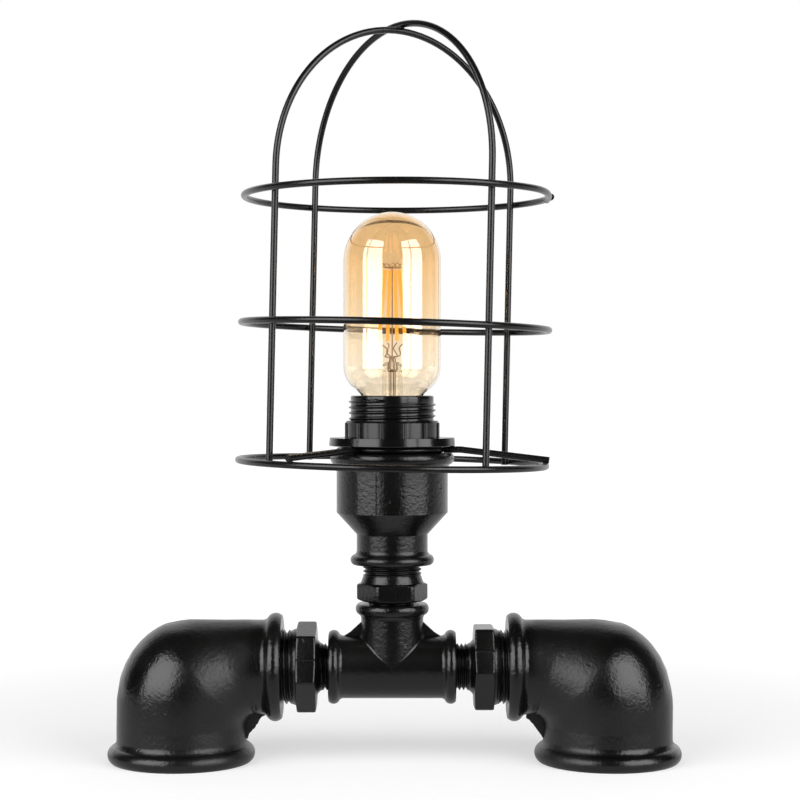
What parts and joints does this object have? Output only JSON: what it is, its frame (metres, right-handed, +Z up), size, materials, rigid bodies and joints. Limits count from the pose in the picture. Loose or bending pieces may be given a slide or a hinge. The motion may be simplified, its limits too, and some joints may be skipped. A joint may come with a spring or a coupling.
{
  "type": "table lamp",
  "caption": "Table lamp built from black malleable iron pipe fittings: elbow feet, tee, riser, reducing socket, screw lamp holder, round wire cage and tubular filament bulb.",
  "frame": {"origin": "on the riser's axis at table level, midway between the two feet", "axes": "+Z up along the riser, +X along the pipe run towards the right foot, -Y towards the front"},
  "size_m": [0.2578, 0.141, 0.3325],
  "materials": {
    "cast_black": "semi-gloss black paint over an as-cast surface",
    "rubber_black": "matt",
    "zinc_steel": "zinc plated",
    "holder_black": "moulded, semi-gloss",
    "insert_ceramic": "glazed ceramic",
    "contact_brass": "stamped",
    "wire_black": "satin powder coat",
    "cap_nickel": "nickel plated",
    "cap_glass_black": "vitreous",
    "board_green": "solder mask",
    "amber_glass": "amber tinted, polished",
    "clear_glass": "clear",
    "bulb_wire": "drawn wire",
    "filament_phosphor": "silicone with phosphor"
  },
  "bodies": {
    "base": {"elbow_left": "cast_black", "elbow_right": "cast_black", "nipple_left": "cast_black", "nipple_right": "cast_black", "tee": "cast_black", "riser_nipple": "cast_black", "reducer": "cast_black", "cable_grommet": "rubber_black", "seat_washer": "zinc_steel", "tube_nut": "zinc_steel", "cable_tube": "zinc_steel", "holder_base": "holder_black", "terminal_insert": "insert_ceramic", "screw_shell": "contact_brass", "centre_contact": "contact_brass", "terminals": "contact_brass", "terminal_screws": "zinc_steel", "holder_skirt": "holder_black"},
    "ring": {"shade_ring": "holder_black"},
    "cage": {"cage_bottom_ring": "wire_black", "cage_middle_ring": "wire_black", "cage_top_ring": "wire_black", "cage_arch_lower": "wire_black", "cage_arch_upper": "wire_black", "cage_hub_ring": "wire_black", "cage_spokes": "wire_black"},
    "bulb_tip": {"bulb_contact": "cap_nickel"},
    "bulb": {"bulb_cap": "cap_nickel", "cap_insulator": "cap_glass_black", "driver_board": "board_green", "bulb_glass": "amber_glass", "glass_stem": "clear_glass", "lead_wires": "bulb_wire", "support_wires": "bulb_wire", "led_filaments": "filament_phosphor"}
  },
  "joints": [
    {"name": "ring_rise", "type": "slide", "parent": "base", "child": "ring", "axis": [0, 0, 1], "range_m": [0, 0.0075]},
    {"name": "cage_turn", "type": "hinge", "parent": "base", "child": "cage", "pos_m": [0, 0, 0.13985], "axis": [0, 0, 1], "range_deg": [-180, 180]},
    {"name": "bulb_rise", "type": "slide", "parent": "base", "child": "bulb_tip", "axis": [0, 0, 1], "range_m": [0, 0.01815]},
    {"name": "bulb_turn", "type": "hinge", "parent": "bulb_tip", "child": "bulb", "pos_m": [0, 0, 0.15], "axis": [0, 0, 1], "range_deg": [0, 1800]}
  ],
  "couplings": [
    {"joint": "bulb_rise", "follows": "bulb_turn", "m_per_rad": 0.00057757}
  ]
}
